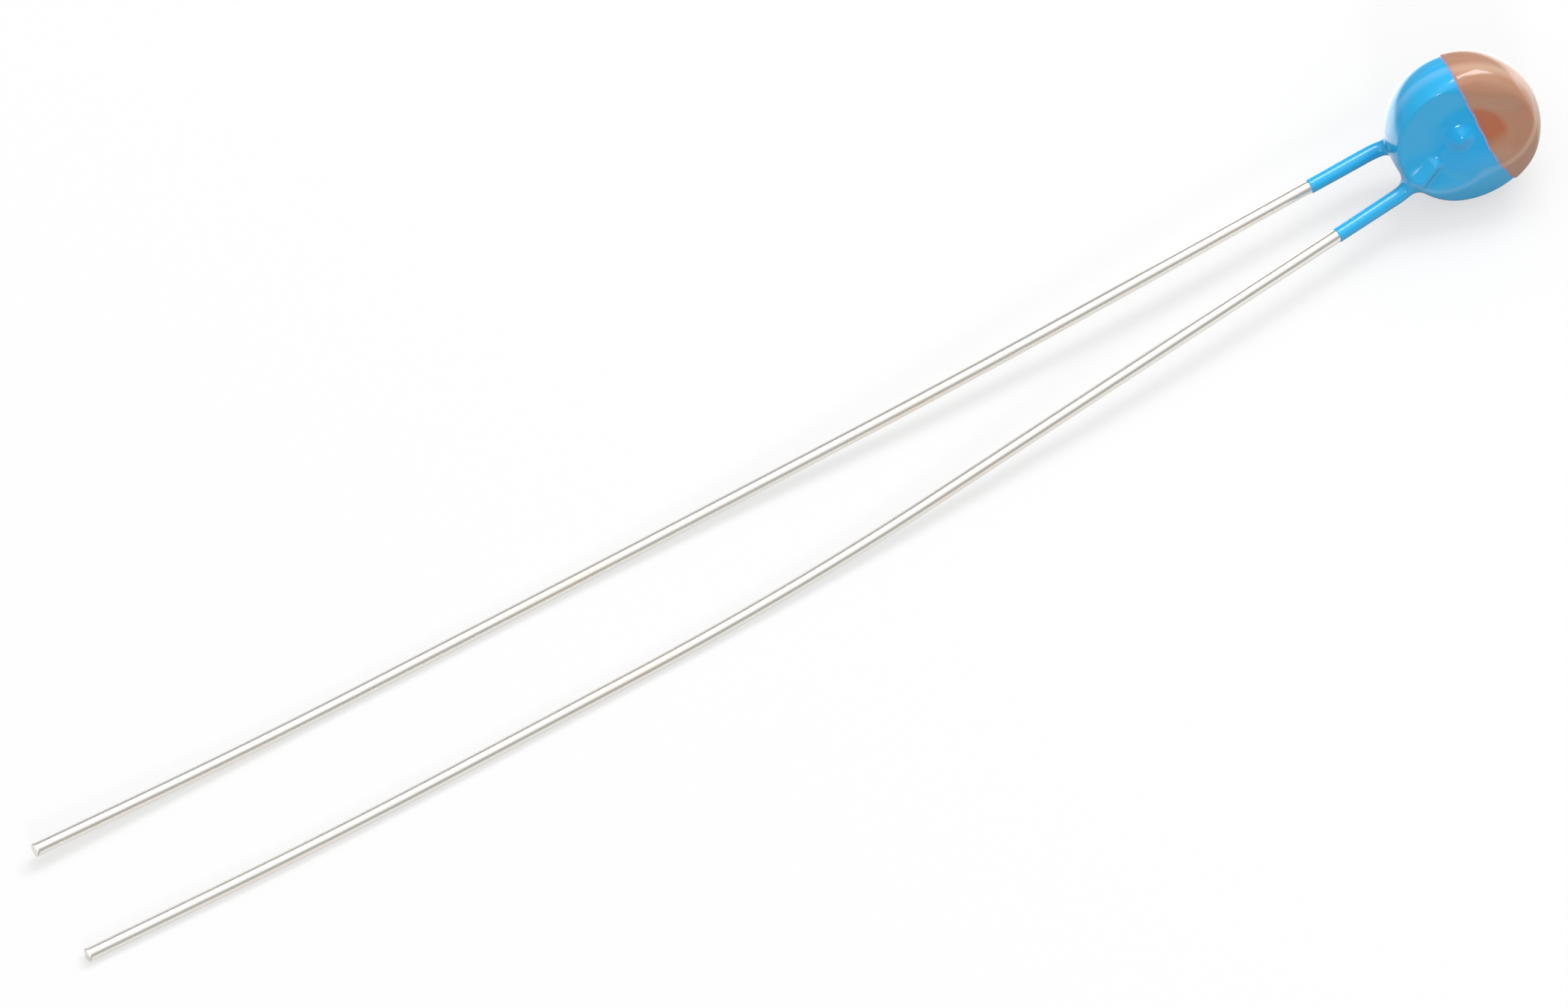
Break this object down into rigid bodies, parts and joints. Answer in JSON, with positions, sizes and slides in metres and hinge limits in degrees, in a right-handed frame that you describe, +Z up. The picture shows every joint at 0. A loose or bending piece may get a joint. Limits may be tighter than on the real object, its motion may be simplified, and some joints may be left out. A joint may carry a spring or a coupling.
{
  "type": "ptc thermistor",
  "caption": "Small ceramic disc resistor dipped in blue lacquer with a brown end coat and long bare wire leads, lying on its rim; its resistance rises as it heats.",
  "frame": {"origin": "middle of the underside of the part's box, on the surface it rests on", "axes": "+Z up, leads run from the disc towards -X, the coated disc is at the +X end with its front face turned towards -Y"},
  "size_m": [0.0474, 0.0042, 0.0043],
  "materials": {
    "ceramic": "matte",
    "electrode": "satin",
    "solder": "satin",
    "tinned_wire": "satin",
    "blue_lacquer": "gloss",
    "brown_lacquer": "gloss"
  },
  "bodies": {
    "root": {"ceramic_disc": "ceramic", "front_electrode": "electrode", "back_electrode": "electrode", "front_solder": "solder", "back_solder": "solder", "front_lead": "tinned_wire", "back_lead": "tinned_wire", "blue_coating": "blue_lacquer", "brown_coating": "brown_lacquer"}
  },
  "joints": []
}
